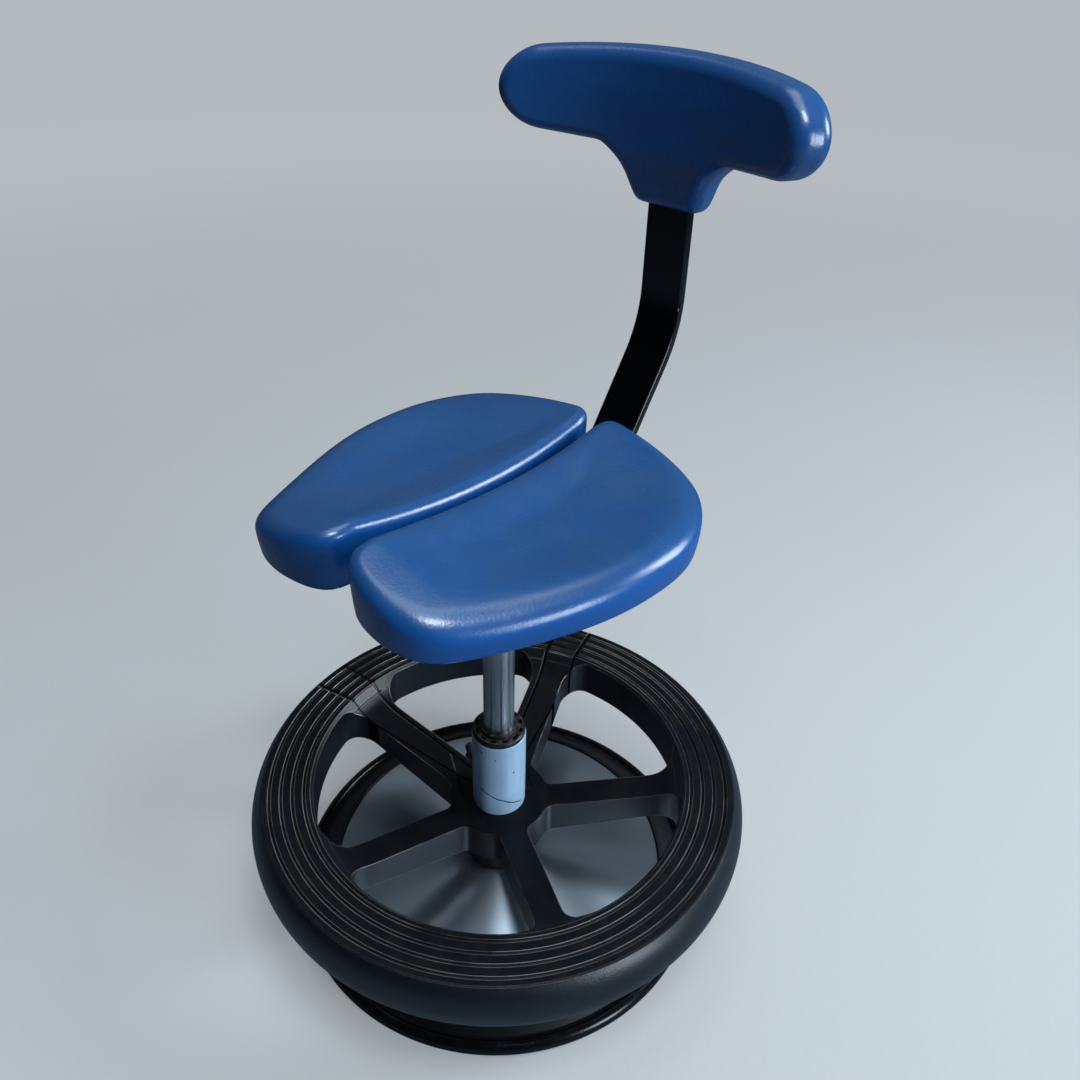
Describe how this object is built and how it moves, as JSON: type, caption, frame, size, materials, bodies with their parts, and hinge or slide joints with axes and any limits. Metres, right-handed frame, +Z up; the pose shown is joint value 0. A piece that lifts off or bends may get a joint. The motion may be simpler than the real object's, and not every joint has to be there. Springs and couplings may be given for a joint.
{
  "type": "posture chair",
  "caption": "Height-adjustable swivel posture chair with a split contoured seat, a T-shaped back pad on a bent bar, a ribbed foot ring and a weighted disc base.",
  "frame": {"origin": "centre of the disc base on the floor, on the axis of the column", "axes": "+Z up along the column, +Y towards the back rest, so the sitter faces -Y, and +X to the sitter's left"},
  "size_m": [0.4612, 0.4612, 0.742],
  "materials": {
    "pad_foam": "satin integral-skin foam",
    "board": "plain plywood",
    "black_bar": "gloss black enamel",
    "black_coat": "fine textured black coat",
    "ring_coat": "matte black coat, worn bright on the ridges",
    "column_paint": "smooth pale blue-grey paint",
    "base_black": "satin black",
    "disc_steel": "spun brushed",
    "cast_weight": "rough",
    "chrome": "bright",
    "steel": "zinc plated",
    "bush_plastic": "matte black",
    "knob_plastic": "matte black"
  },
  "bodies": {
    "base": {"base_weight": "cast_weight", "base_edge_ring": "base_black", "base_screws": "steel", "base_cover": "disc_steel", "column_boss": "black_coat", "column_screws": "steel", "column_tube": "column_paint", "guide_bush": "bush_plastic", "thrust_bearing": "steel"},
    "ring": {"foot_ring": "ring_coat", "foot_ring_rear": "ring_coat", "ring_clamp_screws": "steel"},
    "ring_knob": {"ring_knob": "knob_plastic", "ring_knob_stud": "steel"},
    "spindle": {"spring_rod": "chrome", "rod_shoulder": "steel", "rod_piston": "bush_plastic", "rod_clip": "steel"},
    "seat": {"gas_cylinder": "chrome", "cylinder_gland": "bush_plastic", "mount_socket": "black_coat", "mount_plate": "black_coat", "plate_screws": "steel", "lever_bracket": "black_coat", "lever_pin": "steel", "seat_pad_left": "pad_foam", "seat_pad_right": "pad_foam", "seat_board_left": "board", "seat_board_right": "board", "back_bracket": "black_coat", "bracket_screws": "steel"},
    "lever": {"height_lever": "black_bar", "lever_grip": "knob_plastic"},
    "pin": {"release_pin": "steel"},
    "back_rest": {"back_bar": "black_bar", "back_board": "steel", "back_screws": "steel", "back_pad": "pad_foam"},
    "back_knob": {"back_knob": "knob_plastic", "back_knob_stud": "steel"}
  },
  "joints": [
    {"name": "foot_ring_height", "type": "slide", "parent": "base", "child": "ring", "axis": [0, 0, 1], "range_m": [0, 0.08]},
    {"name": "ring_knob_turn", "type": "hinge", "parent": "ring", "child": "ring_knob", "pos_m": [-0.0575, 0.0324, 0.09], "axis": [-0.8712, 0.4909, 0], "range_deg": [0, 360]},
    {"name": "seat_swivel", "type": "hinge", "parent": "base", "child": "spindle", "pos_m": [0, 0, 0], "axis": [0, 0, 1], "continuous": true},
    {"name": "seat_height", "type": "slide", "parent": "spindle", "child": "seat", "axis": [0, 0, 1], "range_m": [-0.08, 0.015]},
    {"name": "lever_press", "type": "hinge", "parent": "seat", "child": "lever", "pos_m": [-0.03, 0, 0.404], "axis": [0, 1, 0], "range_deg": [0, 6], "stiffness_Nm_per_rad": 4, "springref_deg": -5.73},
    {"name": "pin_press", "type": "slide", "parent": "seat", "child": "pin", "axis": [0, 0, -1], "range_m": [0, 0.00315]},
    {"name": "back_depth", "type": "slide", "parent": "seat", "child": "back_rest", "axis": [0, 1, 0], "range_m": [0, 0.025]},
    {"name": "back_knob_turn", "type": "hinge", "parent": "seat", "child": "back_knob", "pos_m": [0, 0.085, 0.4], "axis": [0, 0, 1], "range_deg": [0, 360]}
  ],
  "couplings": [
    {"joint": "pin_press", "follows": "lever_press", "m_per_rad": 0.03}
  ]
}
